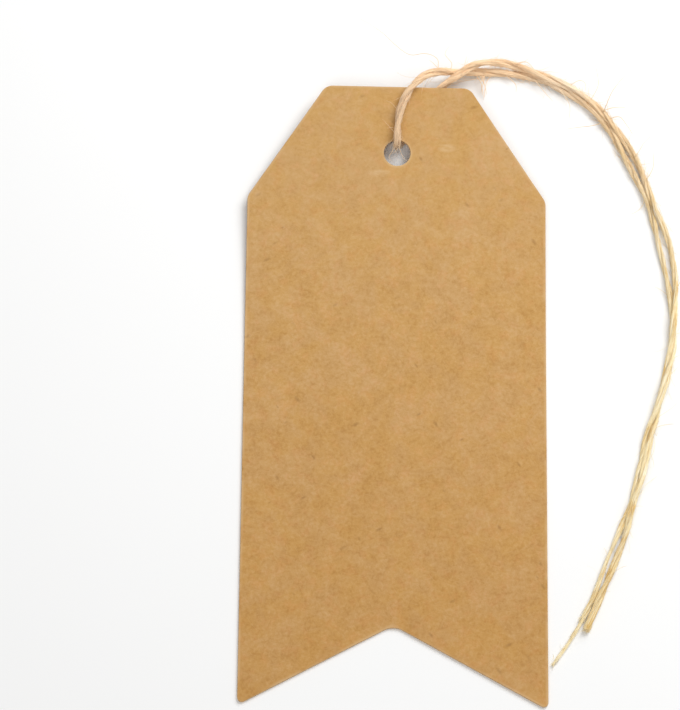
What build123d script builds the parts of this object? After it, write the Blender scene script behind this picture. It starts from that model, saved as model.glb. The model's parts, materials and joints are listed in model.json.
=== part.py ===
# A kraft gift tag with a length of jute twine folded through its punched hole.
# The tag lies face up on the surface z = 0, with its hole end towards +Y.
# The origin is at the middle of the tag, on that surface.

import os
from math import atan2, pi, radians, sqrt, tan

from build123d import *

# Card, in millimetres
TAG_LENGTH = 95.0
TAG_WIDTH = 45.0
CARD_THICKNESS = 0.45
CLIP_ACROSS = 11.6  # each clipped corner, across the tag
CLIP_ALONG = 17.5  # each clipped corner, along the tag
NOTCH_DEPTH = 12.2  # swallowtail notch, between its sharp corners
TOP_CORNER_RADIUS = 1.8
SHOULDER_RADIUS = 2.0
TIP_RADIUS = 0.75
APEX_RADIUS = 2.7
HOLE_DIAMETER = 4.0
HOLE_FROM_END = 10.35  # hole's axis to the tag's end
CURL_LENGTH = 47.5  # the stretch at the hole end that curls up

# Twine, in millimetres
TWINE_DIAMETER = 1.15
TAIL_DIAMETER = 0.55
FOLD_RADIUS = 1.3  # where the twine turns round the hole's rim
RIM_GAP = 0.25  # twine to the hole's wall
SURFACE_GAP = 0.08  # lowest bend of the twine to the surface

# The share of the shorter run that each rounded corner of the route takes up
CORNER_SHARE = 0.45

# The twine's two legs, from the hole outwards, as seen from above and measured from
# the hole's axis. Points with a height are the stretch that comes down to the
# surface, and the others lie on it. The front leg ends in a thin tail of one ply.
FRONT_LEG_RISE = [
    (-0.1, 4.2, 3.85),
    (1.0, 8.7, 4.5),
    (4.3, 12.6, 4.3),
    (9.2, 13.9, 1.3),
]
FRONT_LEG_LAY = [
    (14.6, 14.25),
    (20.05, 13.8),
    (25.05, 11.95),
    (29.45, 8.05),
    (32.75, 4.15),
    (35.65, -0.95),
    (37.9, -6.55),
    (39.3, -12.3),
    (40.6, -18.0),
    (41.0, -24.0),
    (40.25, -30.6),
    (38.7, -37.4),
    (36.95, -44.2),
    (35.0, -50.9),
    (33.0, -57.5),
    (30.65, -64.35),
    (28.45, -69.7),
]
FRONT_TAIL_LAY = [
    (26.2, -74.15),
    (24.6, -76.8),
    (23.1, -78.5),
]
REAR_LEG_RISE = [
    (3.3, 6.6, 0.75),
    (6.4, 10.95, 1.8),
    (9.6, 13.1, 2.8),
    (12.1, 14.9, 2.65),
    (15.9, 15.6, 1.35),
]
REAR_LEG_LAY = [
    (20.2, 15.15),
    (25.25, 13.35),
    (30.15, 9.25),
    (33.75, 5.05),
    (36.8, 0.3),
    (39.05, -5.2),
    (40.9, -10.6),
    (42.3, -15.8),
    (42.3, -21.6),
    (42.0, -27.6),
    (40.95, -33.9),
    (39.3, -40.4),
    (37.55, -46.95),
    (35.65, -53.4),
    (33.75, -59.55),
    (31.7, -65.3),
    (30.1, -69.2),
    (28.6, -73.0),
]

# Places worked out from those sizes
end_y = TAG_LENGTH / 2
side_x = TAG_WIDTH / 2
hole_y = end_y - HOLE_FROM_END
twine_radius = TWINE_DIAMETER / 2
tail_radius = TAIL_DIAMETER / 2

# The twine's fold reaches this far above and below the middle of the card
fold_reach = FOLD_RADIUS / (2 * CORNER_SHARE)
# The fold under the card holds the back of the hole this high off the surface
hole_lift = fold_reach + twine_radius + SURFACE_GAP - CARD_THICKNESS / 2
curl_start_y = end_y - CURL_LENGTH
curl_to_hole = hole_y - curl_start_y
curl_radius = (curl_to_hole**2 + hole_lift**2) / (2 * hole_lift)

# The rounded tips end at the tag's length, so their sharp corners stand further out
tip_angle = atan2(side_x, NOTCH_DEPTH)
tip_y = -end_y - (TIP_RADIUS / tan(tip_angle / 2) - TIP_RADIUS)

os.makedirs("parts", exist_ok=True)


def write(piece, name):
    """Labels a finished piece and writes it as its own file."""
    piece.label = name
    export_step(piece, f"parts/{name}.step")


def curl_height(y, radius):
    """Height above the curl's start of an arc of that radius."""
    return curl_radius - sqrt(radius**2 - (y - curl_start_y) ** 2)


# Card: a sheet that lies flat and curls up at the hole end, cut to the tag's outline
far_y = end_y + 1
inner_radius = curl_radius - CARD_THICKNESS
with BuildPart() as tag_card:
    with BuildSketch(Plane.YZ) as side_profile:
        with BuildLine():
            back = Line((tip_y, 0), (curl_start_y, 0))
            back_curl = TangentArc(
                (curl_start_y, 0), (far_y, curl_height(far_y, curl_radius)), tangent=(1, 0)
            )
            face_end = (far_y, curl_height(far_y, inner_radius))
            Line(back_curl @ 1, face_end)
            TangentArc((curl_start_y, CARD_THICKNESS), face_end, tangent=(1, 0))
            Polyline((curl_start_y, CARD_THICKNESS), (tip_y, CARD_THICKNESS), back @ 0)
        make_face()
    extrude(amount=side_x, both=True)
    with BuildSketch(Plane.XY) as outline:
        with BuildLine():
            Polyline(
                (-side_x, tip_y),
                (0, tip_y + NOTCH_DEPTH),
                (side_x, tip_y),
                (side_x, end_y - CLIP_ALONG),
                (side_x - CLIP_ACROSS, end_y),
                (CLIP_ACROSS - side_x, end_y),
                (-side_x, end_y - CLIP_ALONG),
                close=True,
            )
        make_face()
        tips, apex, shoulders, top_corners = outline.vertices().group_by(Axis.Y)
        fillet(tips, TIP_RADIUS)
        fillet(apex, APEX_RADIUS)
        fillet(shoulders, SHOULDER_RADIUS)
        fillet(top_corners, TOP_CORNER_RADIUS)
        with Locations((0, hole_y)):
            Circle(HOLE_DIAMETER / 2, mode=Mode.SUBTRACT)
    extrude(amount=face_end[1], mode=Mode.INTERSECT)
write(tag_card.part, "tag_card")


def raised(points):
    """Points with a height, moved from the hole's axis into the part's frame."""
    return [Vector(x, y + hole_y, z) for x, y, z in points]


def lying(points, radius):
    """Points of a twine of that radius that lies on the surface."""
    return raised([(x, y, radius) for x, y in points])


def corner_radii(points):
    """The largest arc that each corner of the route has room for."""
    radii = []
    for before, corner, after in zip(points, points[1:], points[2:]):
        shorter_run = min((corner - before).length, (after - corner).length)
        turn = radians((corner - before).get_angle(after - corner))
        radii.append(CORNER_SHARE * shorter_run / tan(turn / 2))
    return radii


def twine_tube(name, points, radii, tube_radius):
    """A stretch of twine: straight runs joined by tangent arcs."""
    with BuildPart() as stretch:
        with BuildLine():
            path = FilletPolyline(*points, radius=radii)
        with BuildSketch(Plane(origin=path @ 0, z_dir=path % 0)):
            Circle(tube_radius)
        sweep()
    write(stretch.part, name)
    tube_volume = pi * tube_radius**2 * path.length
    print(f"{name}: {path.length:.1f} mm long, least radius {min(radii):.2f} mm")
    print(f"  radii {[round(r, 1) for r in radii]}")
    print(f"  volume {stretch.part.volume:.2f}, section times length {tube_volume:.2f}")
    return path.length


# Twine: its fold goes down through the hole beside the rim nearest the tag's end
fold_y = hole_y + HOLE_DIAMETER / 2 - twine_radius - RIM_GAP
card_middle = hole_lift + CARD_THICKNESS / 2
fold_top = Vector(0, fold_y, card_middle + fold_reach)
fold_bottom = Vector(0, fold_y, card_middle - fold_reach)
front_leg = raised(FRONT_LEG_RISE) + lying(FRONT_LEG_LAY, twine_radius)
rear_leg = raised(REAR_LEG_RISE) + lying(REAR_LEG_LAY, twine_radius)

# The front leg stops, and its tail goes on, half-way along the run between them
front_end = (front_leg[-1] + lying(FRONT_TAIL_LAY, twine_radius)[0]) / 2
tail_start = (lying(FRONT_LEG_LAY, tail_radius)[-1] + lying(FRONT_TAIL_LAY, tail_radius)[0]) / 2
front_leg = front_leg + [front_end]
tail = [tail_start] + lying(FRONT_TAIL_LAY, tail_radius)

# The route from one leg's end to the other's, with an arc at every point between them
route = front_leg[::-1] + [fold_top, fold_bottom] + rear_leg
radii = corner_radii(route)
front_count = len(front_leg)

# The fold meets each leg half-way along the run between them
front_join = (fold_top + front_leg[0]) / 2
rear_join = (fold_bottom + rear_leg[0]) / 2
front_length = twine_tube(
    "twine_front_leg",
    [front_join] + front_leg,
    radii[: front_count - 1][::-1],
    twine_radius,
)
tail_length = twine_tube("twine_tail", tail, corner_radii(tail), tail_radius)
fold_length = twine_tube(
    "twine_fold",
    [front_join, fold_top, fold_bottom, rear_join],
    radii[front_count - 1 : front_count + 1],
    twine_radius,
)
rear_length = twine_tube(
    "twine_rear_leg",
    [rear_join] + rear_leg,
    radii[front_count + 1 :],
    twine_radius,
)
twine_length = front_length + tail_length + fold_length + rear_length
print(f"twine: {twine_length:.0f} mm from end to end")
print(f"hole end of the card lifts {curl_height(end_y, curl_radius):.2f} mm")
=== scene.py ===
# A die-cut kraft gift tag with a length of jute twine folded through its hole.
# Run as a script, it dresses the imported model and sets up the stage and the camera.

import json
import math
import random

import bmesh
import bpy
from bpy.props import FloatProperty, FloatVectorProperty, IntProperty, PointerProperty
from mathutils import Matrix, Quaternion, Vector, noise


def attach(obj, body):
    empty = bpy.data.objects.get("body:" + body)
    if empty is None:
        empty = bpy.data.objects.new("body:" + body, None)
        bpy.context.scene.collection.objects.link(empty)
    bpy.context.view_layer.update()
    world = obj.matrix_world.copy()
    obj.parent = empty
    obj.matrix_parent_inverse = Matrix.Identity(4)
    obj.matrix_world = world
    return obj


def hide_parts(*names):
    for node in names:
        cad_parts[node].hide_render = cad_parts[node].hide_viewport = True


bl_info = {
    "name": "Kraft gift tag",
    "version": (1, 0, 0),
    "blender": (4, 5, 0),
    "location": "View3D > Sidebar > Gift tag",
    "description": "Builds a kraft gift tag with jute twine, and its stage",
    "category": "Object",
}

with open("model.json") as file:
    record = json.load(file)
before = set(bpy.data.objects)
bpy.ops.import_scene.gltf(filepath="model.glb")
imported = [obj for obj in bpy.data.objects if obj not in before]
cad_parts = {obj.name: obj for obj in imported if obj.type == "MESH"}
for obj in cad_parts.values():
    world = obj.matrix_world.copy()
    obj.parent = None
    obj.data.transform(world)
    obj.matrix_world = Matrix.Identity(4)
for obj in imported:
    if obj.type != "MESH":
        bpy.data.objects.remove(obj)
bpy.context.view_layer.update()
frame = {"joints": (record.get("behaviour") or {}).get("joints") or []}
MM = 0.001

# The hole's axis, which the twine swings about
HOLE_AXIS = Vector(frame["joints"][0]["pos_m"][:2] + [0.0])
SWING_DEGREES = (0, 15, 30, 45)

# The twine's route in metres, measured from the hole's axis and the surface. On the
# way out the two legs lie on each other in places and cross twice.
TAIL_LAY = [
    (0.0231, -0.0785, 0.000275),
    (0.02465, -0.07645, 0.000275),
    (0.027, -0.07275, 0.00042),
]
FRONT_LEG_LAY = [
    (0.02922, -0.0682, 0.00053),
    (0.0309, -0.0634, 0.00045),
    (0.033, -0.0583, 0.00048),
    (0.0352, -0.0534, 0.00053),
    (0.0364, -0.04785, 0.00053),
    (0.0376, -0.04255, 0.00065),
    (0.03955, -0.0375, 0.0015),
    (0.0412, -0.03205, 0.0012),
    (0.04175, -0.0268, 0.0006),
    (0.0413, -0.02145, 0.00053),
    (0.04015, -0.0157, 0.00053),
    (0.0391, -0.0106, 0.00053),
    (0.03815, -0.00635, 0.00053),
    (0.0362, -0.0025, 0.00053),
    (0.0343, 0.00155, 0.00053),
    (0.03245, 0.00545, 0.00053),
    (0.02965, 0.0087, 0.00053),
    (0.02585, 0.01145, 0.00053),
    (0.02185, 0.01345, 0.00053),
    (0.01755, 0.0141, 0.00053),
    (0.0133, 0.0142, 0.00058),
]
FRONT_LEG_RISE = [
    (0.0092, 0.0139, 0.0013),
    (0.0043, 0.0126, 0.0043),
    (0.001, 0.0087, 0.0045),
    (-0.0001, 0.0042, 0.00385),
]
FOLD = [
    (0.0, 0.001175, 0.003544),
    (0.0, 0.001175, 0.000655),
]
REAR_LEG_RISE = [
    (0.0033, 0.0066, 0.00075),
    (0.0064, 0.01095, 0.0018),
    (0.0096, 0.0131, 0.0028),
    (0.0121, 0.0149, 0.00265),
    (0.0156, 0.0156, 0.0015),
]
REAR_LEG_LAY = [
    (0.01875, 0.0149, 0.00125),
    (0.02225, 0.01355, 0.00137),
    (0.02595, 0.012, 0.00122),
    (0.0295, 0.00995, 0.0008),
    (0.03225, 0.0067, 0.0011),
    (0.0346, 0.0035, 0.0007),
    (0.03665, 0.0001, 0.00053),
    (0.0378, -0.00335, 0.0007),
    (0.0388, -0.007, 0.00127),
    (0.0404, -0.0104, 0.0007),
    (0.04165, -0.0147, 0.00053),
    (0.04215, -0.02, 0.00075),
    (0.04165, -0.02555, 0.00155),
    (0.04105, -0.03, 0.00075),
    (0.04015, -0.0347, 0.0005),
    (0.0389, -0.03975, 0.00055),
    (0.0376, -0.0452, 0.00103),
    (0.03635, -0.0508, 0.00126),
    (0.03475, -0.05505, 0.00125),
    (0.03425, -0.05815, 0.0007),
    (0.03235, -0.06305, 0.00053),
    (0.03025, -0.06805, 0.00053),
    (0.02848, -0.0721, 0.00053),
    (0.02803, -0.0733, 0.00053),
]
ROUTE = TAIL_LAY + FRONT_LEG_LAY + FRONT_LEG_RISE + FOLD + REAR_LEG_RISE + REAR_LEG_LAY

# Fibres that have worked loose, each from the twine outwards, measured as the route is
# but in millimetres
FRONT_WISPS = [
    [(5.9, 12.7, 3.2), (6.4, 14.5, 3.6), (5.4, 15.5, 3.8), (3.8, 16, 3.4), (2, 15.7, 2.8),
     (0.5, 17, 2), (-0.9, 18.8, 1), (-1.9, 20.1, 0.6), (-4, 21.8, 0.3), (-5.7, 22.8, 0.2)],
    [(7.8, 13.4, 2.4), (8.5, 14.3, 3), (7.6, 15.3, 3.2), (6.9, 16.2, 3), (8, 17.9, 2.2)],
    [(6.6, 13, 2.9), (5.8, 14, 3.6), (4.7, 14.8, 3.6)],
    [(13, 13.8, 0.9), (13.1, 12.5, 1.2), (13.6, 11.3, 0.9), (13.3, 10.2, 0.3)],
    [(13.7, 13.8, 0.9), (12.6, 12.6, 1.4), (13, 11.5, 0.9), (12.8, 10.9, 0.3)],
    [(14, 13.8, 0.9), (12.3, 12.8, 1.2), (10.5, 12.7, 0.9), (9, 12.4, 0.4)],
    [(11.8, 13.8, 1.1), (12.5, 12.7, 1.3), (13, 11.8, 1), (13.1, 10.6, 0.3)],
    [(14.6, 13.8, 0.9), (13.8, 12.8, 1.3), (13.4, 11.7, 1), (13.2, 9.8, 0.3)],
    [(13.4, 13.8, 0.9), (13.3, 12.6, 1.2), (12.9, 11.6, 0.9), (13, 10.4, 0.3)],
    [(12.4, 13.8, 1), (12.9, 12.8, 1.2), (13.5, 11.8, 0.8), (13.7, 10.7, 0.3)],
    [(16.5, 13.7, 0.9), (17.7, 12.7, 1), (18.3, 12, 0.7), (18.2, 11.2, 0.3)],
    [(20.6, 13.5, 0.9), (21.5, 12.2, 1.2), (22.6, 10.9, 0.9), (23.9, 9.7, 0.3)],
    [(24.7, 11.7, 0.9), (25.8, 10.2, 1.1), (26.6, 8.6, 0.6), (26.3, 7.1, 0.2)],
    [(31.6, 6.3, 0.9), (29.8, 5.5, 1.2), (28.1, 5.5, 0.8), (25.8, 5.3, 0.2)],
]
REAR_WISPS = [
    [(9.9, 13.2, 3.2), (10.2, 14.4, 3.6), (10.5, 15.8, 3)],
    [(17.4, 14.9, 1.6), (19.1, 15.6, 2.4), (20.4, 15.1, 2), (21.1, 14.3, 0.9)],
    [(26.1, 11.7, 1.4), (27.5, 12.8, 2.2), (28.9, 12.3, 1.9), (28.8, 11.4, 1.1)],
    [(29.4, 9.6, 1.2), (30.7, 11.3, 2.4), (30.6, 13.3, 2.2), (30.2, 16.6, 0.8)],
    [(31.4, 7.7, 1.4), (31.9, 8.7, 2.6), (32.8, 11.1, 3), (35.5, 14.7, 1.2)],
    [(31.2, 7.9, 1.4), (32.4, 8.1, 2.2), (33.6, 8.5, 1.8), (35, 8.9, 0.5)],
    [(32.3, 6.6, 1.4), (33.7, 7.1, 2.2), (34.8, 5.9, 1.6), (36, 4.6, 0.4)],
    [(36.2, 0.7, 1), (37, 1.7, 1.8), (37.6, 3.1, 1.4), (38.9, 4.4, 0.4)],
    [(37.7, -3.3, 1.1), (38.7, -2, 1.8), (39.1, 0, 1.2), (39, 2.1, 0.4)],
    [(42, -20.7, 1.1), (42.8, -19.4, 1.6), (43, -17.4, 1), (42.8, -15.2, 0.3)],
]
HOLE_WISPS = [
    [(-0.2, 1.1, 3), (-0.6, 0.3, 2.6), (-1.1, -0.3, 2.3), (-1.3, -0.9, 2.1), (-0.7, -1.3, 2)],
    [(0.2, 1.1, 2.9), (0.4, 0.2, 2.6), (0.9, -0.7, 2.3), (1.3, -1.2, 2.1)],
    [(0.3, 1, 2.8), (-0.1, 0.3, 2.5), (-0.7, -0.2, 2.3)],
]


def length_of(name, description, default):
    """A setting in metres."""
    return FloatProperty(
        name=name, description=description, default=default, unit="LENGTH", precision=5
    )


def count_of(name, description, default):
    """A setting that counts something."""
    return IntProperty(name=name, description=description, default=default, min=0)


def colour_of(name, description, default):
    """A setting that holds a linear colour."""
    return FloatVectorProperty(
        name=name, description=description, default=default, subtype="COLOR", size=3,
        min=0.0, max=1.0,
    )


class KraftCardSettings(bpy.types.PropertyGroup):
    length: length_of("Length", "The tag from its hole end to its tips", 0.095)
    width: length_of("Width", "The tag from side to side", 0.045)
    thickness: length_of("Thickness", "The card's thickness", 0.00045)
    clip_across: length_of("Clip across", "Each clipped corner, across the tag", 0.0116)
    clip_along: length_of("Clip along", "Each clipped corner, along the tag", 0.0175)
    notch_depth: length_of("Notch depth", "The swallowtail between its sharp corners", 0.0122)
    end_corner_radius: length_of("End corners", "Rounding beside the hole end", 0.0018)
    shoulder_radius: length_of("Shoulders", "Rounding where each clip meets a side", 0.002)
    tip_radius: length_of("Tips", "Rounding of the two tips", 0.00075)
    apex_radius: length_of("Notch", "Rounding at the bottom of the notch", 0.0027)
    hole_diameter: length_of("Hole", "The punched hole's diameter", 0.004)
    hole_from_end: length_of("Hole from end", "The hole's axis to the tag's end", 0.01035)
    curl_length: length_of("Curl length", "The stretch that curls up", 0.0475)
    curl_radius: length_of("Curl radius", "How gently the hole end curls up", 0.36908)
    edge_softening: length_of("Edge softening", "Rounding that the die leaves", 0.0001)
    face_colour: colour_of("Kraft", "The face's main colour", (0.530, 0.302, 0.105))
    cloud_colour: colour_of("Clouds", "Paler greyish clouds", (0.596, 0.367, 0.157))
    shade_colour: colour_of("Shade", "Darker ochre patches", (0.438, 0.227, 0.066))
    fleck_colour: colour_of("Flecks", "Bark specks in the pulp", (0.190, 0.085, 0.025))
    edge_colour: colour_of("Cut edge", "Bare pulp on the cut edges", (0.600, 0.400, 0.210))
    worn_colour: colour_of("Wear", "Rubbed pulp at the rims and in scuffs", (0.740, 0.540, 0.320))


class JuteTwineSettings(bpy.types.PropertyGroup):
    diameter: length_of("Diameter", "The twine's usual diameter", 0.00115)
    tail_diameter: length_of("Tail", "The single ply that goes on at one end", 0.00055)
    lay_length: length_of("Lay", "The length of one turn of the two plies", 0.015)
    fibre_lay: length_of("Fibre lay", "The length of one turn of a ply's fibres", 0.011)
    fibre_diameter: length_of("Fibre", "A loose fibre's diameter", 0.00005)
    loose_fibres: count_of("Loose fibres", "Short fibres that stand off each leg", 200)
    laid_fibres: count_of("Laid fibres", "Fibres that lie along the plies of each leg", 240)
    ivory_colour: colour_of("Ivory", "Bleached fibres near the hole", (0.960, 0.705, 0.450))
    straw_colour: colour_of("Straw", "Yellower fibres towards the ends", (0.950, 0.812, 0.495))
    ochre_colour: colour_of("Ochre", "Golden marks towards the ends", (0.750, 0.510, 0.185))
    bleached_colour: colour_of("Bleached", "Pale slivers towards the ends", (1.000, 0.955, 0.830))
    # Painted shade: this colour darkens the twine beside the hole
    painted_shade_by_hole_colour: colour_of("Shaded", "Dulled fibres beside the hole", (0.620, 0.440, 0.280))
    husk_colour: colour_of("Husk", "Darker fibres among the others", (0.540, 0.280, 0.085))


class StudioSettings(bpy.types.PropertyGroup):
    floor_size: length_of("Floor", "The side of the square floor", 3.0)
    floor_colour: colour_of("Floor colour", "The pale floor", (0.95, 0.95, 0.945))
    key_power: FloatProperty(
        name="Key light", description="The large light on the right", default=1.32, unit="POWER"
    )
    fill_power: FloatProperty(
        name="Fill light", description="The weaker light in front", default=7.6, unit="POWER"
    )
    sky_strength: FloatProperty(
        name="Sky", description="Brightness of the even light from all round", default=0.37
    )
    camera_place: FloatVectorProperty(
        name="Camera place", description="Where the camera stands", subtype="TRANSLATION",
        unit="LENGTH", default=(-0.02147, -0.16328, 0.50893),
    )
    camera_turn: FloatVectorProperty(
        name="Camera turn", description="How the camera is turned", subtype="EULER",
        unit="ROTATION", default=(0.31988, -0.02974, 0.01123),
    )
    camera_lens: FloatProperty(
        name="Lens", description="The camera's focal length", default=182.54, unit="CAMERA"
    )


# Shader maths


def math_node(operation, reflected=False):
    """A method of Value that adds one Math node."""

    def method(self, *others):
        operands = (self, *others)
        return self.maths(operation, operands[::-1] if reflected else operands)

    return method


class Value:
    """A number in a material's nodes, which can be used in sums."""

    def __init__(self, tree, socket):
        self.tree = tree
        self.socket = socket

    def maths(self, operation, operands):
        node = self.tree.nodes.new("ShaderNodeMath")
        node.operation = operation
        for slot, operand in zip(node.inputs, operands):
            if isinstance(operand, Value):
                self.tree.links.new(operand.socket, slot)
            else:
                slot.default_value = operand
        return Value(self.tree, node.outputs[0])

    __add__ = math_node("ADD")
    __radd__ = math_node("ADD", reflected=True)
    __sub__ = math_node("SUBTRACT")
    __rsub__ = math_node("SUBTRACT", reflected=True)
    __mul__ = math_node("MULTIPLY")
    __rmul__ = math_node("MULTIPLY", reflected=True)
    __truediv__ = math_node("DIVIDE")
    __rtruediv__ = math_node("DIVIDE", reflected=True)
    __gt__ = math_node("GREATER_THAN")
    __lt__ = math_node("LESS_THAN")
    __abs__ = math_node("ABSOLUTE")
    least = math_node("MINIMUM")
    root = math_node("SQRT")


# The sockets that a Mix node uses for colours, by number because their names repeat
MIX_FACTOR, MIX_UNDER, MIX_OVER, MIX_RESULT = 0, 6, 7, 2


class Finish:
    """A material, and the one way in which nodes are added to it."""

    def __init__(self, name, constants):
        self.material = bpy.data.materials.new(name)
        self.material.use_nodes = True
        self.tree = self.material.node_tree
        self.shader = self.tree.nodes["Principled BSDF"]
        for socket, constant in constants.items():
            self.shader.inputs[socket].default_value = constant

    def node(self, kind, settings=None, inputs=None):
        """Adds a node of that kind: its settings first, then its sockets' values or links."""
        node = self.tree.nodes.new(kind)
        for name, setting in (settings or {}).items():
            setattr(node, name, setting)
        for name, given in (inputs or {}).items():
            self.feed(node.inputs[name], given)
        return node

    def feed(self, slot, given):
        """Links or sets a socket. A colour that sets one is given without its alpha."""
        if isinstance(given, Value):
            self.tree.links.new(given.socket, slot)
        elif isinstance(given, bpy.types.NodeSocket):
            self.tree.links.new(given, slot)
        elif slot.type == "RGBA":
            slot.default_value = (*given, 1.0)
        else:
            slot.default_value = given

    def shade(self, socket, given):
        """Feeds one of the shader's sockets."""
        self.feed(self.shader.inputs[socket], given)

    def value(self, node, output):
        """One of a node's outputs, for sums."""
        return Value(self.tree, node.outputs[output])

    def places(self, size, turn=0.0):
        """The piece's own coordinates in grains of that size in millimetres, turned."""
        coordinates = self.node("ShaderNodeTexCoord")
        return self.node(
            "ShaderNodeMapping",
            {"vector_type": "TEXTURE"},
            {
                "Vector": coordinates.outputs["Object"],
                "Rotation": (0.0, 0.0, turn),
                "Scale": [axis * MM for axis in size],
            },
        ).outputs["Vector"]

    def noise(self, places, scale=1.0, detail=3.0, roughness=0.5, distortion=0.0):
        """A cloudy value from 0 to 1."""
        inputs = {
            "Vector": places,
            "Scale": scale,
            "Detail": detail,
            "Roughness": roughness,
            "Distortion": distortion,
        }
        return self.value(self.node("ShaderNodeTexNoise", inputs=inputs), "Fac")

    def between(self, value, low, high):
        """That value as it goes smoothly from 0 at low to 1 at high."""
        spread = self.node(
            "ShaderNodeMapRange",
            {"interpolation_type": "SMOOTHSTEP"},
            {"Value": value, "From Min": low, "From Max": high},
        )
        return self.value(spread, "Result")

    def mix(self, factor, under, over, blend="MIX"):
        """One colour laid over another."""
        return self.node(
            "ShaderNodeMix",
            {"data_type": "RGBA", "blend_type": blend},
            {MIX_FACTOR: factor, MIX_UNDER: under, MIX_OVER: over},
        ).outputs[MIX_RESULT]

    def bump(self, height, strength, distance):
        """Gives the surface a relief that follows a height."""
        inputs = {"Height": height, "Strength": strength, "Distance": distance}
        relief = self.node("ShaderNodeBump", inputs=inputs)
        self.shade("Normal", relief.outputs["Normal"])


# Finishes, whose lengths are in millimetres

# How much of each colour is laid over the kraft at most
MOTTLE_SHARE = 0.8
PALE_STROKE_SHARE = 0.30
DARK_STROKE_SHARE = 0.34
SPECK_SHARE = 0.40
SCUFF_SHARE = 0.34
WEAR_SHARE = 0.38

# Tints that the kraft's colour is multiplied by. The foot and hole end tints are painted light:
# darker and more ochre at the foot, paler at the hole end
ROSY_TINT = (1.0, 1.02, 1.12)
OLIVE_TINT = (1.0, 0.985, 0.905)
FLUSHED_TINT = (1.025, 0.982, 0.99)
FOOT_PAINTED_SHADE = (0.99, 0.95, 0.88)
HOLE_END_PAINTED_LIGHT = (1.045, 1.075, 1.14)

# Lays of short fibres in the kraft: how each is turned and its fibres' length
STROKE_LAYS = [(0.35, 1.9), (1.25, 1.5), (2.15, 1.7), (2.9, 2.2)]
STROKE_BREADTH = 0.17

# Bark specks: how each lay of them is turned, how far they lie apart, and the share left out
SPECK_TURNS = (0.5, 2.2)
SPECK_SPACING = (3.6, 1.6, 2.4)
SPECKS_LEFT_OUT = 0.76

# Scuffs beside the hole: their middles from its axis, then half their length and breadth
SCUFFS = [(7.5, 0.9, 1.8, 0.9), (-2.6, -3.2, 2.6, 0.7)]


def kraft_face(card, shape):
    """Uncoated kraft: ochre pulp with paler clouds, short fibres, bark specks and wear, under
    painted light that pales it towards the hole end.
    """
    finish = Finish("kraft_face", {"Specular IOR Level": 0.25})
    even = finish.places((1, 1, 1))
    place = finish.node("ShaderNodeSeparateXYZ", inputs={"Vector": even})
    across = finish.value(place, "X")
    along = finish.value(place, "Y")
    past_hole = along - shape.hole_y / MM
    clouds = finish.noise(even, 0.14, distortion=0.3)
    patches = finish.noise(even, 0.55, roughness=0.55, distortion=0.4)
    pulp = finish.noise(even, 1.9, detail=4, roughness=0.65, distortion=0.3)
    blush = finish.noise(finish.places((5, 5, 5)), detail=4, roughness=0.6, distortion=0.5)
    flush = finish.noise(finish.places((1.7, 1.7, 1.7)), roughness=0.6)
    # The mottling fades towards the hole end
    strong = 1.0 - 0.32 * finish.between(along, 12.0, 40.0)
    tone = 0.15 * clouds + 0.33 * patches + 0.52 * pulp
    paler = MOTTLE_SHARE * strong * finish.between(tone, 0.48, 0.66)
    darker = MOTTLE_SHARE * strong * finish.between(tone, 0.52, 0.34)
    colour = finish.mix(paler, card.face_colour, card.cloud_colour)
    colour = finish.mix(darker, colour, card.shade_colour)
    # Painted light: the colour is multiplied darker towards the foot and paler towards the hole
    # end
    painted_light_towards_hole = finish.between(along, -shape.end_y / MM, shape.end_y / MM)
    tints = [
        (finish.between(blush, 0.44, 0.66), ROSY_TINT),
        (finish.between(blush, 0.54, 0.34), OLIVE_TINT),
        (finish.between(flush, 0.50, 0.66), FLUSHED_TINT),
        (1.0, finish.mix(painted_light_towards_hole, FOOT_PAINTED_SHADE, HOLE_END_PAINTED_LIGHT)),
    ]
    for factor, tint in tints:
        colour = finish.mix(factor, colour, tint, "MULTIPLY")
    tooth = 0.5 * pulp
    for turn, length in STROKE_LAYS:
        grain = finish.places((length, STROKE_BREADTH, 1), turn)
        strokes = finish.noise(grain, detail=2, distortion=0.8)
        pale_stroke = PALE_STROKE_SHARE * strong * finish.between(strokes, 0.62, 0.74)
        dark_stroke = DARK_STROKE_SHARE * strong * finish.between(strokes, 0.37, 0.26)
        colour = finish.mix(pale_stroke, colour, card.cloud_colour)
        colour = finish.mix(dark_stroke, colour, card.shade_colour)
        tooth = tooth + 0.3 * strokes
    for turn in SPECK_TURNS:
        specks = finish.node(
            "ShaderNodeTexVoronoi",
            {"feature": "F1"},
            {"Vector": finish.places(SPECK_SPACING, turn), "Scale": 1.0},
        )
        lot = finish.node("ShaderNodeSeparateColor", inputs={"Color": specks.outputs["Color"]})
        size = finish.value(lot, "Red")
        chosen = finish.value(lot, "Green") > SPECKS_LEFT_OUT
        ragged = finish.value(specks, "Distance") + 0.07 * pulp
        speck = finish.between(ragged, 0.13 + 0.17 * size, 0.02) * chosen
        colour = finish.mix(SPECK_SHARE * speck, colour, card.fleck_colour)
    rubs = finish.between(finish.noise(finish.places((2.2, 0.5, 1), 0.05)), 0.36, 0.60)
    for middle_x, middle_y, half_long, half_broad in SCUFFS:
        aside = (across - middle_x) / half_long
        above = (past_hole - middle_y) / half_broad
        scuff = finish.between((aside * aside + above * above).root(), 1.0, 0.3)
        colour = finish.mix(SCUFF_SHARE * scuff * rubs, colour, card.worn_colour)
    from_rim = (across * across + past_hole * past_hole).root() - card.hole_diameter / 2 / MM
    inside = edge_distance(card, shape, abs(across), along).least(from_rim)
    worn = finish.between(inside + 0.4 * pulp, 0.70, 0.20) * finish.between(clouds, 0.38, 0.56)
    colour = finish.mix(WEAR_SHARE * worn, colour, card.worn_colour)
    finish.shade("Base Color", colour)
    finish.shade("Roughness", 0.80 + 0.16 * patches)
    finish.bump(tooth, 0.35, 0.03 * MM)
    return finish.material


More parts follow.
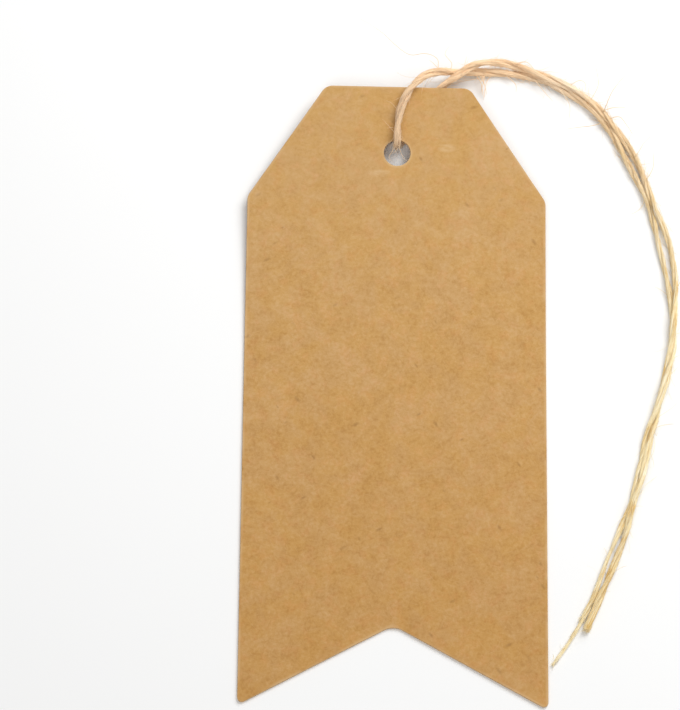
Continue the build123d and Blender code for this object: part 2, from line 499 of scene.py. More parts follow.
def edge_distance(card, shape, across, along):
    """How far inside the card's outline a place is."""
    side = shape.side_x / MM - across
    clip = shape.clip_normal.x * side + shape.clip_normal.y * (shape.shoulder_y / MM - along)
    notch_angle = math.atan2(card.notch_depth, shape.side_x)
    notch = math.cos(notch_angle) * (along - shape.apex_y / MM) + math.sin(notch_angle) * across
    return side.least(clip).least(notch).least(shape.end_y / MM - along)


def kraft_edge(card):
    """The cut edge: bare pulp in thin layers that run with the sheet."""
    finish = Finish("kraft_edge", {"Specular IOR Level": 0.2})
    layers = finish.noise(finish.places((2, 2, 0.09)), roughness=0.6)
    crumbs = finish.noise(finish.places((0.2, 0.2, 0.2)), roughness=0.6)
    darker = finish.between(0.6 * layers + 0.4 * crumbs, 0.56, 0.36)
    finish.shade("Base Color", finish.mix(0.6 * darker, card.edge_colour, card.shade_colour))
    finish.shade("Roughness", 0.84 + 0.12 * crumbs)
    finish.bump(0.7 * layers + 0.3 * crumbs, 0.5, 0.03 * MM)
    return finish.material


def jute(twine, line):
    """Silky jute: streaks along the fibres, ivory near the hole and straw at the ends, with
    painted shade beside the hole and painted light on one stretch.
    """
    finish = Finish(
        "jute", {"Specular IOR Level": 0.3, "Sheen Weight": 0.25, "Sheen Roughness": 0.45}
    )
    lay = finish.node("ShaderNodeAttribute", {"attribute_name": "fibre_lay"}).outputs["Vector"]

    def scaled(scale):
        mapping = finish.node("ShaderNodeMapping", inputs={"Vector": lay, "Scale": scale})
        return mapping.outputs["Vector"]

    fine = scaled((2.2, 2.2, 0.20))
    streaks = finish.noise(fine, 2.4, detail=4, roughness=0.6)
    tufts = finish.noise(fine, 0.9, detail=2)
    bands = finish.noise(scaled((0.05, 0.05, 0.22)), roughness=0.6)
    # Stretches of the twine, by their length from the hole
    split = finish.node("ShaderNodeSeparateXYZ", inputs={"Vector": lay})
    past_hole = finish.value(split, "Z") - line.lengths[line.hole] / MM
    from_hole = abs(past_hole)
    # Painted shade: the twine is darkened within 15 mm of the hole
    painted_shade_by_hole = finish.between(from_hole, 15.0, 7.0)
    ageing = finish.between(from_hole, 28.0, 75.0)
    # Painted light: a paler stretch about 29 to 40 mm from the hole, with fewer dark fibres
    painted_light_stretch = finish.between(from_hole, 29.0, 33.0) * finish.between(from_hole, 40.0, 36.0)
    # Darker from about 36 to 80 mm from the hole
    darker_stretch = finish.between(from_hole, 36.0, 43.0) * finish.between(from_hole, 80.0, 68.0)
    rear_end = finish.between(past_hole, 106.0, 118.0)
    # Marks among the fibres
    husk = finish.between(streaks, 0.50, 0.28)
    tinted = finish.between(tufts, 0.48, 0.32)
    slivers = finish.between(tufts, 0.51, 0.62)
    twist_marks = finish.between(bands, 0.50, 0.62)
    dark = (0.26 + 0.08 * ageing - 0.14 * painted_light_stretch) * husk + 0.17 * darker_stretch
    pale = 0.70 * ageing * slivers + 0.22 * painted_light_stretch
    golden = ageing * (0.35 * tinted + 0.80 * twist_marks + 0.30 * rear_end)
    layers = [
        (ageing, twine.straw_colour),
        (dark, twine.husk_colour),
        (pale, twine.bleached_colour),
        (golden, twine.ochre_colour),
        (0.50 * painted_shade_by_hole, twine.painted_shade_by_hole_colour),
    ]
    colour = twine.ivory_colour
    for factor, layer in layers:
        colour = finish.mix(factor, colour, layer)
    finish.shade("Base Color", colour)
    finish.shade("Roughness", 0.58 + 0.25 * streaks)
    finish.bump(streaks, 0.5, 0.04 * MM)
    return finish.material


def pale_floor(studio):
    """A matt pale surface with the faintest unevenness."""
    finish = Finish("pale_floor", {"Specular IOR Level": 0.1})
    uneven = finish.noise(finish.places((100, 100, 100)), detail=2)
    duller = [0.97 * channel for channel in studio.floor_colour]
    finish.shade("Base Color", finish.mix(uneven, studio.floor_colour, duller))
    finish.shade("Roughness", 0.85 + 0.1 * uneven)
    return finish.material


# Modelling steps that several pieces share

SAME_PLACE = 0.01 * MM  # a vertex this near to a place is at it
CUT_THRESHOLD = 1e-7
MERGE_THRESHOLD = 1e-6


def deselect_all():
    if bpy.context.object and bpy.context.object.mode != "OBJECT":
        bpy.ops.object.mode_set(mode="OBJECT")
    bpy.ops.object.select_all(action="DESELECT")


def apply_modifier(piece, kind, **settings):
    """Adds a modifier, sets it and applies it."""
    modifier = piece.modifiers.new(kind.title(), kind)
    for name, setting in settings.items():
        setattr(modifier, name, setting)
    bpy.context.view_layer.objects.active = piece
    bpy.ops.object.modifier_apply(modifier=modifier.name)


def pick_vertices(piece, places):
    """In edit mode, selects the vertices at those places and nothing else."""
    bpy.ops.mesh.select_mode(type="VERT")
    bpy.ops.mesh.select_all(action="DESELECT")
    cage = bmesh.from_edit_mesh(piece.data)
    for vertex in cage.verts:
        picked = any((vertex.co - Vector(place)).length < SAME_PLACE for place in places)
        vertex.select_set(picked)
    cage.select_flush_mode()
    bmesh.update_edit_mesh(piece.data)


def cut(place, normal, drop_beyond=False):
    """In edit mode, cuts through everything, and may drop what lies beyond the cut."""
    bpy.ops.mesh.select_all(action="SELECT")
    bpy.ops.mesh.bisect(
        plane_co=place, plane_no=normal, clear_outer=drop_beyond, threshold=CUT_THRESHOLD
    )


# Card

CORNER_SEGMENTS = 10
EDGE_SEGMENTS = 3
SOFTENED_ANGLE = math.radians(50)  # edges that turn by more than this are softened
NORMAL_WEIGHT = 50
CURL_ROWS = 22
HOLE_CLEAR = 0.7  # how far the rows keep from the hole's axis, in its diameters
PUNCH_SIDES = 96
PUNCH_DEPTH = 20 * MM
FACE_LEVEL = 0.8  # faces less level than this are on the cut edge


class CardShape:
    """The card's outline and curl, worked out from its settings."""

    def __init__(self, card):
        self.end_y = card.length / 2
        self.side_x = card.width / 2
        tip_angle = math.atan2(self.side_x, card.notch_depth)
        overshoot = card.tip_radius * (1 / math.tan(tip_angle / 2) - 1)
        self.tip_y = -self.end_y - overshoot
        self.apex_y = self.tip_y + card.notch_depth
        self.shoulder_y = self.end_y - card.clip_along
        self.corner_x = self.side_x - card.clip_across
        self.hole_y = self.end_y - card.hole_from_end
        self.curl_start_y = self.end_y - card.curl_length
        self.curl_radius = card.curl_radius
        self.thickness = card.thickness
        self.clip_normal = Vector((card.clip_along, card.clip_across, 0)).normalized()

    def lift(self, y):
        """Height of the card's back above the surface."""
        rise = max(0.0, y - self.curl_start_y)
        return self.curl_radius - math.sqrt(self.curl_radius**2 - rise**2)

    def meets(self, place, margin):
        """Whether a place is in the card or closer to it than the margin."""
        x, y, z = abs(place.x), place.y, place.z
        if x > self.side_x + margin or y > self.end_y + margin:
            return False
        if y < self.tip_y - margin:
            return False
        beyond_clip = Vector((x - self.side_x, y - self.shoulder_y, 0)).dot(self.clip_normal)
        if beyond_clip > margin:
            return False
        back = self.lift(min(y, self.end_y))
        return back - margin < z < back + self.thickness + margin


class GIFT_TAG_OT_kraft_card(bpy.types.Operator):
    """Cuts, curls, thickens and punches the kraft card"""

    bl_idname = "gift_tag.kraft_card"
    bl_label = "Kraft card"

    def execute(self, context):
        card = context.scene.kraft_card
        shape = CardShape(card)
        sheet = self.cut_outline(card, shape)
        self.round_corners(sheet, card, shape)
        self.curl(sheet, card, shape)
        apply_modifier(sheet, "SOLIDIFY", thickness=card.thickness, offset=1.0)
        self.punch(sheet, card, shape)
        apply_modifier(
            sheet, "BEVEL", width=card.edge_softening, segments=EDGE_SEGMENTS,
            limit_method="ANGLE", angle_limit=SOFTENED_ANGLE, use_clamp_overlap=False,
        )
        bpy.ops.object.shade_smooth()
        apply_modifier(sheet, "WEIGHTED_NORMAL", mode="FACE_AREA", weight=NORMAL_WEIGHT)
        self.finish(sheet, card, shape)
        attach(sheet, "card")
        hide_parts("tag_card")
        return {"FINISHED"}

    def cut_outline(self, card, shape):
        """Half of the outline from a plane, mirrored to the whole."""
        deselect_all()
        bpy.ops.mesh.primitive_plane_add(size=1)
        sheet = bpy.context.object
        sheet.name = "kraft_sheet"
        long = shape.end_y - shape.tip_y
        bpy.ops.object.mode_set(mode="EDIT")
        bpy.ops.transform.resize(value=(shape.side_x, long, 1))
        bpy.ops.transform.translate(value=(shape.side_x / 2, shape.end_y - long / 2, 0))
        cut((shape.side_x, shape.shoulder_y, 0), shape.clip_normal, drop_beyond=True)
        cut((0, shape.apex_y, 0), (-card.notch_depth, -shape.side_x, 0), drop_beyond=True)
        bpy.ops.object.mode_set(mode="OBJECT")
        apply_modifier(sheet, "MIRROR", merge_threshold=MERGE_THRESHOLD)
        bpy.ops.object.mode_set(mode="EDIT")
        pick_vertices(sheet, [(0, shape.end_y, 0), (0, shape.apex_y, 0)])
        bpy.ops.mesh.select_mode(type="EDGE")
        bpy.ops.mesh.dissolve_edges(use_verts=False)
        pick_vertices(sheet, [(0, shape.end_y, 0)])
        bpy.ops.mesh.dissolve_verts()
        return sheet

    def round_corners(self, sheet, card, shape):
        """Rounds the seven corners, still flat, each by its radius and the outline's turn."""
        clip_turn = math.atan2(card.clip_along, card.clip_across)
        notch_slope = math.atan2(card.notch_depth, shape.side_x)
        tip_turn = math.pi / 2 + notch_slope
        corners = [
            (shape.corner_x, shape.end_y, card.end_corner_radius, clip_turn),
            (shape.side_x, shape.shoulder_y, card.shoulder_radius, math.pi / 2 - clip_turn),
            (shape.side_x, shape.tip_y, card.tip_radius, tip_turn),
            (0.0, shape.apex_y, card.apex_radius, 2 * notch_slope),
        ]
        for x, y, radius, turn in corners:
            pick_vertices(sheet, [(x, y, 0), (-x, y, 0)])
            bpy.ops.mesh.bevel(
                offset=radius * math.tan(turn / 2), segments=CORNER_SEGMENTS,
                affect="VERTICES", clamp_overlap=False,
            )

    def curl(self, sheet, card, shape):
        """Lifts the hole end along an arc, in rows that keep off the hole."""
        hole_clear = HOLE_CLEAR * card.hole_diameter
        for row in range(CURL_ROWS):
            y = shape.curl_start_y + card.curl_length * row / CURL_ROWS
            if abs(y - shape.hole_y) > hole_clear:
                cut((0, y, 0), (0, 1, 0))
        cut((0, shape.hole_y - hole_clear, 0), (0, 1, 0))
        cut((0, shape.hole_y + hole_clear, 0), (0, 1, 0))
        bpy.ops.object.mode_set(mode="OBJECT")
        for vertex in sheet.data.vertices:
            vertex.co.z = shape.lift(vertex.co.y)

    def punch(self, sheet, card, shape):
        """Punches the hole straight down."""
        deselect_all()
        bpy.ops.mesh.primitive_cylinder_add(
            vertices=PUNCH_SIDES, radius=card.hole_diameter / 2, depth=PUNCH_DEPTH,
            location=(0, shape.hole_y, 0),
        )
        punch = bpy.context.object
        apply_modifier(sheet, "BOOLEAN", object=punch, operation="DIFFERENCE", solver="EXACT")
        bpy.data.objects.remove(punch)
        deselect_all()
        sheet.select_set(True)

    def finish(self, sheet, card, shape):
        """Gives the faces and the cut edges their finishes."""
        sheet.data.materials.clear()
        sheet.data.materials.append(kraft_face(card, shape))
        sheet.data.materials.append(kraft_edge(card))
        for face in sheet.data.polygons:
            face.material_index = int(abs(face.normal.z) < FACE_LEVEL)


# Twine

ROUTE_STEPS = 14  # points that are read between two points of the route
WISP_STEPS = 5

# One ply's middle and half its depth and breadth, as shares of the twine's diameter
PLY_REACH = 0.235
PLY_DEPTH = 0.265
PLY_BREADTH = 0.345
TAIL_BREADTH = 0.46  # the tail's radius, in its diameters

# How much a ply's thickness varies, how far the plies part, and their twist's slack in radians
LUMPS = 0.12
FINE_LUMPS = 0.06
END_SWELL = 0.38
PARTING = 0.8
SLACK = 0.9

# A ply's core and its bundles of fibre: how far out in the ply they are, and how much the
# bundles vary
BUNDLES = 13
CORE_OUT = 0.84
BUNDLE_OUT = 0.76
BUNDLE_THICKNESS = 0.25
BUNDLE_SWAY = 0.7
BUNDLE_STRAY = 0.10
BUNDLE_LUMPS = 0.40
CORE_SIDES = 10
BUNDLE_SIDES = 5
LOWEST = 0.02 * MM  # the least height of a ply above the surface

# Steps between strands in the noise, so that each varies in its own way
PLY_STEP = 11.3
PLY_BUNDLE_STEP = 17.0
BUNDLE_STEP = 2.3
FIBRE_STEP = 0.4

# Loose fibres
FIBRE_SEED = 5
FIBRE_SIDES = 4
FIBRE_STEPS = 7
FIBRE_TAPER = 0.65
FIBRE_CURL = 1.6  # the most that one turns, in radians
FIBRE_DROOP = 0.05  # how much its heading sinks in each step
CARD_MARGIN = 0.15 * MM  # how near to the card one may come
FAR_OUT = (45 * MM, 65 * MM)  # where they get fewer, from the hole
HAIRS_THINNED = 0.75
LAID_THINNED = 0.2
HAIR_LENGTHS = (1.2, 1.8, 2.4, 3.4)  # in millimetres
HAIR_OUT = 0.36  # where a hair leaves the twine, in its diameters
HAIR_LEAN = (0.25, 0.9)
LAID_STRIDE = 2
LAID_OUT = 1.06  # how far out in the ply a laid fibre is
LAID_LIFT = 0.30
WISP_THICKNESS = 2.2  # in loose fibres' diameters
FRAY_THICKNESS = 1.3
FRAY_ASIDE = (0.05, 0.4)  # from the twine's middle, in its diameters
FRAY_ROOT = 0.4 * MM
FRAY_LEAN = 0.3


def smooth(value, low, high):
    """Goes smoothly from 0 at low to 1 at high."""
    share = min(1.0, max(0.0, (value - low) / (high - low)))
    return share * share * (3 - 2 * share)


def near(value, middle, spread):
    """1 at the middle, and fading to 0 on both sides of it."""
    return math.exp(-(((value - middle) / spread) ** 2))


def wander(along, stretch, strand, row):
    """Drifts between about -1 and 1 along the twine, over stretches in millimetres."""
    return noise.noise(Vector((along / (stretch * MM), strand, row)))


def around(angle, first, second):
    """The direction at an angle, from the first of two towards the second."""
    return math.cos(angle) * first + math.sin(angle) * second


def angles_round(sides):
    """The angles of the corners of a ring."""
    return [math.tau * side / sides for side in range(sides)]


def headings_along(points):
    """The direction at each of a row of points."""
    befores = points[:1] + points[:-1]
    afters = points[1:] + points[-1:]
    return [(after - before).normalized() for before, after in zip(befores, afters)]


def on_surface(place, clearance):
    """That place, lifted if it would sink into the surface."""
    return Vector((place.x, place.y, max(place.z, clearance)))


def spline_points(places, steps):
    """Points along a spline whose control points are measured from the hole's axis."""
    curve = bpy.data.curves.new("twine_line", "CURVE")
    curve.dimensions = "3D"
    spline = curve.splines.new("NURBS")
    spline.points.add(len(places) - 1)
    for point, place in zip(spline.points, places):
        point.co = (*(HOLE_AXIS + Vector(place)), 1.0)
    spline.order_u = 3
    spline.use_endpoint_u = True
    spline.resolution_u = steps
    holder = bpy.data.objects.new("twine_line", curve)
    mesh = bpy.data.meshes.new_from_object(holder)
    points = [vertex.co.copy() for vertex in mesh.vertices]
    bpy.data.objects.remove(holder)
    bpy.data.curves.remove(curve)
    bpy.data.meshes.remove(mesh)
    return points


class TwineLine:
    """The twine's smooth line, from the tail's tip to the blunt end."""

    def __init__(self):
        self.points = spline_points(ROUTE, ROUTE_STEPS)
        self.last = len(self.points) - 1
        self.lengths = [0.0]
        for before, after in zip(self.points, self.points[1:]):
            self.lengths.append(self.lengths[-1] + (after - before).length)
        self.headings = headings_along(self.points)
        self.sides = [Vector((0, 0, 1)).cross(self.headings[0]).normalized()]
        for before, after in zip(self.headings, self.headings[1:]):
            side = self.sides[-1].copy()
            side.rotate(before.rotation_difference(after))
            side -= side.dot(after) * after
            self.sides.append(side.normalized())
        fold_middle = HOLE_AXIS + (Vector(FOLD[0]) + Vector(FOLD[1])) / 2
        self.hole = self.nearest(fold_middle)
        tail_meets = HOLE_AXIS + Vector(TAIL_LAY[-1]).lerp(Vector(FRONT_LEG_LAY[0]), 0.25)
        self.tail_end = self.nearest(tail_meets)

    def nearest(self, place):
        """The index of the point nearest to a place."""
        return min(range(len(self.points)), key=lambda index: (self.points[index] - place).length)

    def from_hole(self, index):
        return abs(self.lengths[index] - self.lengths[self.hole])

    def fullness(self, index):
        """The twine is fuller near the hole and pulled thinner further out."""
        out = self.from_hole(index)
        full = 1.08 - 0.22 * smooth(out, 22 * MM, 56 * MM)
        full -= 0.14 * near(out, 66 * MM, 10 * MM)
        if index < self.hole:
            return full - 0.32 * near(out, 117 * MM, 6.5 * MM)
        return full + 0.10 * smooth(out, 112 * MM, 124 * MM)

    def outward(self, index, angle):
        """The direction from the line's middle at an angle round it."""
        side = self.sides[index]
        return around(angle, side, self.headings[index].cross(side))

    def ply_angle(self, index, ply, lay_length):
        """Where round the line a ply is, with a slack twist."""
        along = self.lengths[index]
        return math.tau * (along / lay_length + ply / 2) + SLACK * wander(along, 9, 0.0, 3.7)


# The share of a tube's strip of the map that each closed end takes, and the bare border
# on each side of a strip
CAP_SHARE = 0.02
STRIP_BORDER = 0.06
STRIPS_IN_COLUMN = 64


class TubeMesh:
    """Closed tubes that are collected and made into one piece."""

    def __init__(self):
        self.places = []
        self.faces = []
        self.lays = []
        self.tubes = 0
        self.spots = []

    def add(self, rings, lays):
        """Adds a tube of rings, with each ring vertex's place in the fibres' lay."""
        first = len(self.places)
        sides = len(rings[0])
        for ring, ring_lays in zip(rings, lays):
            self.places.extend(ring)
            self.lays.extend(ring_lays)
        step = (1 - 2 * CAP_SHARE) / (len(rings) - 1)
        for row in range(len(rings) - 1):
            low = first + row * sides
            start = CAP_SHARE + row * step
            end = start + step
            for side in range(sides):
                after = (side + 1) % sides
                self.faces.append(
                    (low + side, low + after, low + sides + after, low + sides + side)
                )
                left, right = side / sides, (side + 1) / sides
                self.mark((start, left), (start, right), (end, right), (end, left))
        last = first + (len(rings) - 1) * sides
        self.cap(range(first + sides - 1, first - 1, -1), rings[0], lays[0], 0.0, CAP_SHARE)
        self.cap(range(last, last + sides), rings[-1], lays[-1], 1.0, 1.0 - CAP_SHARE)
        self.tubes += 1

    def cap(self, indices, ring, ring_lays, tip, rim):
        """Closes an end with a fan round its middle, from tip to rim on the map."""
        indices = list(indices)
        middle = len(self.places)
        self.places.append(sum(ring, Vector()) / len(ring))
        self.lays.append(ring_lays[0])
        share = 1 / len(ring)
        for side, (index, after) in enumerate(zip(indices, indices[1:] + indices[:1])):
            self.faces.append((middle, index, after))
            self.mark((tip, (side + 0.5) * share), (rim, side * share), (rim, (side + 1) * share))

    def mark(self, *corners):
        """Notes where a face's corners lie in the strip of its tube."""
        self.spots.extend((self.tubes, *corner) for corner in corners)

    def map_strips(self, mesh):
        """Lays the tubes' strips side by side on a map of their own."""
        columns = math.ceil(self.tubes / STRIPS_IN_COLUMN)
        rows = math.ceil(self.tubes / columns)
        flat = []
        for tube, along, across in self.spots:
            flat.append((tube % columns + CAP_SHARE + (1 - 2 * CAP_SHARE) * along) / columns)
            flat.append((tube // columns + STRIP_BORDER + (1 - 2 * STRIP_BORDER) * across) / rows)
        strips = mesh.uv_layers.new(name="OFBake")
        strips.data.foreach_set("uv", flat)

    def add_fibre(self, points, diameter, along, shade):
        """Adds one loose fibre that thins towards its free end."""
        rings = []
        headings = headings_along(points)
        side = headings[0].orthogonal()
        for index, (point, heading) in enumerate(zip(points, headings)):
            side = (side - side.dot(heading) * heading).normalized()
            up = heading.cross(side)
            share = index / (len(points) - 1)
            radius = diameter / 2 * (1 - FIBRE_TAPER * share * share)
            angles = angles_round(FIBRE_SIDES)
            rings.append([point + radius * around(angle, side, up) for angle in angles])
        lay = (shade, 1 - shade, along / MM)
        self.add(rings, [[lay] * FIBRE_SIDES] * len(rings))

    def finish(self, name, material):
        """Makes the piece."""
        mesh = bpy.data.meshes.new(name)
        mesh.from_pydata(self.places, [], self.faces)
        lay = mesh.attributes.new("fibre_lay", "FLOAT_VECTOR", "POINT")
        lay.data.foreach_set("vector", [part for place in self.lays for part in place])
        self.map_strips(mesh)
        mesh.shade_smooth()
        mesh.materials.append(material)
        piece = bpy.data.objects.new(name, mesh)
        bpy.context.scene.collection.objects.link(piece)
        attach(piece, "twine")
        return piece


class PlyShape:
    """The middle of one ply of the twine, and how far it reaches, at a point of the line."""

    def __init__(self, line, twine, ply, index):
        along = line.lengths[index]
        to_end = line.lengths[-1] - along
        past_tail = along - line.lengths[line.tail_end]
        strand = PLY_STEP * ply
        lumps = 1 + LUMPS * wander(along, 2.6, strand, 0.0)
        lumps += FINE_LUMPS * wander(along, 0.9, strand, 5.0)
        full = line.fullness(index) * twine.diameter
        swell = 1 + END_SWELL * smooth(-to_end, -4 * MM, -1 * MM)
        loose = smooth(line.from_hole(index), 35 * MM, 60 * MM)
        apart = max(0.0, wander(along, 5.0, 0.0, 8.0))
        reach = PLY_REACH * full * (1 + PARTING * loose * apart)
        outward_radius = PLY_DEPTH * full * lumps * swell
        sideways_radius = PLY_BREADTH * full * lumps * swell
        if ply == 0:
            # This ply goes on as the tail
            in_tail = 1 - smooth(past_tail, -1 * MM, 2.5 * MM)
            tail_radius = TAIL_BREADTH * twine.tail_diameter * lumps
            reach *= 1 - in_tail
            outward_radius += in_tail * (tail_radius - outward_radius)
            sideways_radius += in_tail * (tail_radius - sideways_radius)
        else:
            thinned = 0.45 + 0.55 * smooth(past_tail, 0, 2 * MM)
            outward_radius *= thinned
            sideways_radius *= thinned
        blunt = 0.55 + 0.45 * smooth(to_end, -0.3 * MM, 0.9 * MM)
        pointed = 0.55 + 0.45 * smooth(along, 0, 1.5 * MM)
        outward = line.outward(index, line.ply_angle(index, ply, twine.lay_length))
        self.middle = line.points[index] + reach * outward
        self.deep = blunt * pointed * outward_radius * outward
        self.broad = blunt * pointed * sideways_radius * line.headings[index].cross(outward)

    def place(self, angle, share):
        """A place round the ply's middle, at a share of the way out."""
        return self.middle + share * around(angle, self.deep, self.broad)


def add_ply(tubes, line, twine, ply, first, last):
    """One ply between two points of the line: a core with bundles of fibre wound round it."""
    shapes = [PlyShape(line, twine, ply, index) for index in range(first, last + 1)]
    lengths = line.lengths[first : last + 1]
    rings = []
    lays = []
    for shape, along in zip(shapes, lengths):
        places = [shape.place(angle, CORE_OUT) for angle in angles_round(CORE_SIDES)]
        rings.append([on_surface(place, LOWEST) for place in places])
        lays.append([(ply, side / CORE_SIDES, along / MM) for side in range(CORE_SIDES)])
    tubes.add(rings, lays)
    for bundle in range(BUNDLES):
        strand = PLY_BUNDLE_STEP * ply + BUNDLE_STEP * bundle
        add_bundle(tubes, shapes, lengths, twine.fibre_lay, bundle / BUNDLES, strand)


def add_bundle(tubes, shapes, lengths, fibre_lay, start, strand):
    """One bundle of fibres that winds round its ply and wanders a little."""
    rings = []
    lays = []
    for shape, along in zip(shapes, lengths):
        sway = wander(along, 4.5, strand, 1.0)
        stray = wander(along, 3.0, strand, 2.0)
        lump = wander(along, 2.0, strand, 3.0)
        angle = math.tau * (start - along / fibre_lay) + BUNDLE_SWAY * sway
        middle = shape.place(angle, BUNDLE_OUT + BUNDLE_STRAY * stray)
        thickness = BUNDLE_THICKNESS * (1 + BUNDLE_LUMPS * lump)
        deep = thickness * shape.deep
        broad = thickness * shape.deep.length * shape.broad.normalized()
        ring = []
        ring_lays = []
        for corner in angles_round(BUNDLE_SIDES):
            ring.append(on_surface(middle + around(corner, deep, broad), LOWEST))
            aside = FIBRE_STEP * math.cos(corner)
            above = FIBRE_STEP * math.sin(corner)
            ring_lays.append((strand + aside, above, along / MM))
        rings.append(ring)
        lays.append(ring_lays)
    tubes.add(rings, lays)


class GIFT_TAG_OT_jute_twine(bpy.types.Operator):
    """Twists the two plies of each leg of the twine"""

    bl_idname = "gift_tag.jute_twine"
    bl_label = "Jute twine"

    def execute(self, context):
        twine = context.scene.jute_twine
        line = TwineLine()
        finish = jute(twine, line)
        front = TubeMesh()
        add_ply(front, line, twine, ply=0, first=0, last=line.hole)
        add_ply(front, line, twine, ply=1, first=line.tail_end, last=line.hole)
        front_leg = front.finish("front_leg_plies", finish)
        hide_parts("twine_front_leg", "twine_tail")
        rear = TubeMesh()
        for ply in (0, 1):
            add_ply(rear, line, twine, ply, first=line.hole, last=line.last)
        rear_leg = rear.finish("rear_leg_plies", finish)
        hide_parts("twine_fold", "twine_rear_leg")
        return {"FINISHED"}


class LegFibres:
    """The loose fibres of one leg, which grow between two points of the line."""

    def __init__(self, line, twine, shape, first, last):
        self.line = line
        self.twine = twine
        self.shape = shape
        self.first = first
        self.last = last
        self.tubes = TubeMesh()

    def cover(self, wisps):
        """Adds hairs, then fibres that lie on the plies, both fewer far out, then wisps."""
        dice = random.Random(self.first + FIBRE_SEED)
        twine = self.twine
        lengths = self.line.lengths
        kinds = [
            (self.hair, twine.loose_fibres, HAIRS_THINNED),
            (self.laid, twine.laid_fibres, LAID_THINNED),
        ]
        for grow_one, count, thinned in kinds:
            while count:
                index = dice.randint(self.first, self.last)
                far_out = smooth(self.line.from_hole(index), *FAR_OUT)
                fibre = grow_one(dice, index)
                if dice.random() < thinned * far_out or self.meets_card(fibre):
                    continue
                diameter = twine.fibre_diameter * dice.uniform(0.7, 1.2)
                self.tubes.add_fibre(fibre, diameter, lengths[index], dice.random())
                count -= 1
        diameter = WISP_THICKNESS * twine.fibre_diameter
        for wisp in wisps:
            points = spline_points([(x * MM, y * MM, z * MM) for x, y, z in wisp], WISP_STEPS)
            along = lengths[self.line.nearest(points[0])]
            self.tubes.add_fibre(points, diameter, along, dice.random())

    def laid(self, dice, index):
        """A fibre that follows a ply's surface and lifts at its ends."""
        ply = dice.randint(0, 1)
        steps = dice.randint(5, 12)
        start = min(max(self.first, index - steps), self.last - LAID_STRIDE * steps)
        angle = dice.uniform(0, math.tau)
        drift = dice.uniform(-2.0, 2.0) / steps
        points = []
        for step in range(steps + 1):
            shape = PlyShape(self.line, self.twine, ply, start + LAID_STRIDE * step)
            from_end = min(step, steps - step)
            out = LAID_OUT + LAID_LIFT * (1 - smooth(from_end, 0, 2))
            place = shape.place(angle + drift * step, out)
            points.append(on_surface(place, self.twine.fibre_diameter))
        return points

    def hair(self, dice, index):
        """A short fibre that leaves the twine at a shallow angle and curls."""
        outward = self.line.outward(index, dice.uniform(0, math.tau))
        start = self.line.points[index] + HAIR_OUT * self.twine.diameter * outward
        heading = self.line.headings[index] * dice.choice((-1, 1))
        heading = (heading + dice.uniform(*HAIR_LEAN) * outward).normalized()
        length = dice.choice(HAIR_LENGTHS) * dice.uniform(0.7, 1.3) * MM
        return self.grow(dice, start, heading, length)

    def grow(self, dice, start, heading, length):
        """The points of a curling fibre that stays above the surface."""
        axis = Vector((dice.gauss(0, 1), dice.gauss(0, 1), dice.gauss(0, 1))).normalized()
        bend = Quaternion(axis, dice.uniform(0.0, FIBRE_CURL) / FIBRE_STEPS)
        points = [on_surface(start, self.twine.fibre_diameter)]
        heading = heading.copy()
        for _ in range(FIBRE_STEPS):
            heading.rotate(bend)
            heading.z -= FIBRE_DROOP
            heading.normalize()
            point = points[-1] + length / FIBRE_STEPS * heading
            points.append(on_surface(point, self.twine.fibre_diameter))
        return points

    def meets_card(self, points):
        """Whether a fibre would touch the card anywhere in the twine's swing."""
        for degrees in SWING_DEGREES:
            turn = Quaternion((0, 0, 1), math.radians(degrees))
            for point in points:
                if self.shape.meets(turn @ (point - HOLE_AXIS) + HOLE_AXIS, CARD_MARGIN):
                    return True
        return False

    def fray(self, index, sense, count, length, seed):
        """Adds the brush of fibres at a cut end, one way along the line or the other."""
        dice = random.Random(seed)
        along = sense * self.line.headings[index]
        diameter = FRAY_THICKNESS * self.twine.fibre_diameter
        while count:
            outward = self.line.outward(index, dice.uniform(0, math.tau))
            aside = dice.uniform(*FRAY_ASIDE) * self.twine.diameter
            start = self.line.points[index] + aside * outward - FRAY_ROOT * along
            heading = (along + dice.uniform(0.0, FRAY_LEAN) * outward).normalized()
            fibre = self.grow(dice, start, heading, length * dice.uniform(0.4, 1.0))
            if self.meets_card(fibre):
                continue
            self.tubes.add_fibre(fibre, diameter, self.line.lengths[index], dice.random())
            count -= 1


class GIFT_TAG_OT_loose_fibres(bpy.types.Operator):
    """Adds the fibres that stand off the twine, its frayed ends and its long wisps"""

    bl_idname = "gift_tag.loose_fibres"
    bl_label = "Loose fibres"

    def execute(self, context):
        twine = context.scene.jute_twine
        line = TwineLine()
        shape = CardShape(context.scene.kraft_card)
        front = LegFibres(line, twine, shape, first=1, last=line.hole)
        front.cover(FRONT_WISPS + HOLE_WISPS)
        front.fray(0, sense=-1, count=5, length=1.2 * MM, seed=21)
        front.fray(line.tail_end, sense=-1, count=40, length=1.2 * MM, seed=23)
        rear = LegFibres(line, twine, shape, first=line.hole, last=line.last - 1)
        rear.cover(REAR_WISPS)
        rear.fray(line.last, sense=1, count=26, length=0.9 * MM, seed=22)
        finish = bpy.data.materials["jute"]
        front_fibres = front.tubes.finish("front_leg_fibres", finish)
        rear_fibres = rear.tubes.finish("rear_leg_fibres", finish)
        return {"FINISHED"}


# Stage

# Each soft light's place and the side of its square, in metres
KEY_LIGHT = ((0.16, 0.22, 0.30), 0.28)
FILL_LIGHT = ((-0.30, -1.00, 1.20), 1.20)
CLIP_START = 10 * MM


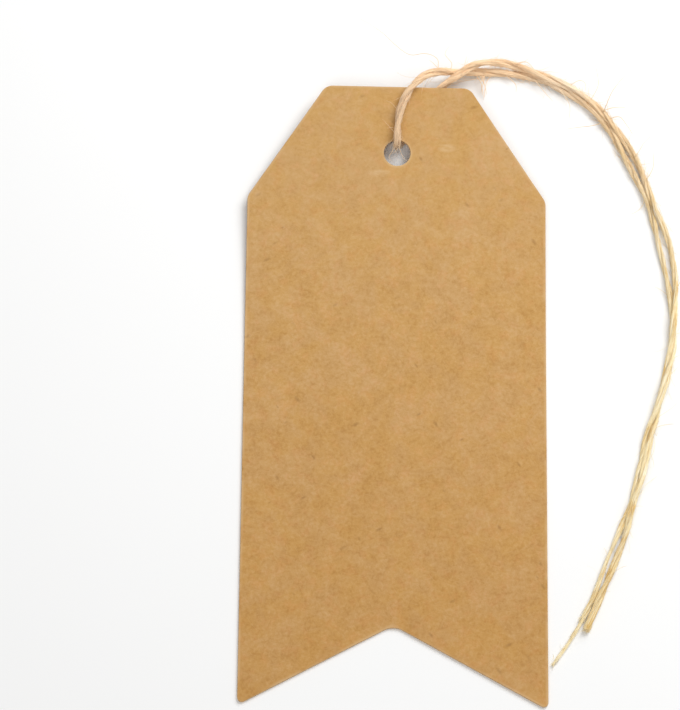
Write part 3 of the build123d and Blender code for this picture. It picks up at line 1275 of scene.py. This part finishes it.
class GIFT_TAG_OT_studio(bpy.types.Operator):
    """Sets up the pale floor, the soft lights and the camera"""

    bl_idname = "gift_tag.studio"
    bl_label = "Studio"

    def execute(self, context):
        studio = context.scene.studio
        deselect_all()
        bpy.ops.mesh.primitive_plane_add(size=studio.floor_size)
        floor = bpy.context.object
        floor.name = "pale_floor"
        floor.data.materials.append(pale_floor(studio))
        self.light("key_light", *KEY_LIGHT, studio.key_power)
        self.light("fill_light", *FILL_LIGHT, studio.fill_power)
        world = bpy.data.worlds.new("studio_sky")
        world.use_nodes = True
        sky = world.node_tree.nodes["Background"]
        sky.inputs["Color"].default_value = (1.0, 1.0, 1.0, 1.0)
        sky.inputs["Strength"].default_value = studio.sky_strength
        context.scene.world = world
        bpy.ops.object.camera_add(location=studio.camera_place, rotation=studio.camera_turn)
        camera = bpy.context.object
        camera.data.lens = studio.camera_lens
        camera.data.clip_start = CLIP_START
        context.scene.camera = camera
        context.scene.view_settings.view_transform = "Standard"
        return {"FINISHED"}

    def light(self, name, place, size, power):
        """Adds a square soft light that faces the middle of the tag."""
        bpy.ops.object.light_add(type="AREA", location=place)
        lamp = bpy.context.object
        lamp.name = name
        lamp.data.size = size
        lamp.data.energy = power
        lamp.rotation_euler = (-lamp.location).to_track_quat("-Z", "Y").to_euler()


# Panel and registration


class GIFT_TAG_PT_panel(bpy.types.Panel):
    bl_label = "Gift tag"
    bl_space_type = "VIEW_3D"
    bl_region_type = "UI"
    bl_category = "Gift tag"

    def draw(self, context):
        column = self.layout.column()
        for operator in OPERATORS:
            column.operator(operator.bl_idname)
        for settings in SETTINGS:
            group = getattr(context.scene, settings)
            for name in group.__annotations__:
                column.prop(group, name)


OPERATORS = (
    GIFT_TAG_OT_kraft_card,
    GIFT_TAG_OT_jute_twine,
    GIFT_TAG_OT_loose_fibres,
    GIFT_TAG_OT_studio,
)
SETTINGS = {
    "kraft_card": KraftCardSettings,
    "jute_twine": JuteTwineSettings,
    "studio": StudioSettings,
}
CLASSES = (*SETTINGS.values(), *OPERATORS, GIFT_TAG_PT_panel)


def register():
    for item in CLASSES:
        bpy.utils.register_class(item)
    for name, settings in SETTINGS.items():
        setattr(bpy.types.Scene, name, PointerProperty(type=settings))


def unregister():
    for name in SETTINGS:
        delattr(bpy.types.Scene, name)
    for item in reversed(CLASSES):
        bpy.utils.unregister_class(item)


def main():
    register()
    bpy.ops.gift_tag.kraft_card()
    bpy.ops.gift_tag.jute_twine()
    bpy.ops.gift_tag.loose_fibres()
    bpy.ops.gift_tag.studio()


if __name__ == "__main__":
    main()
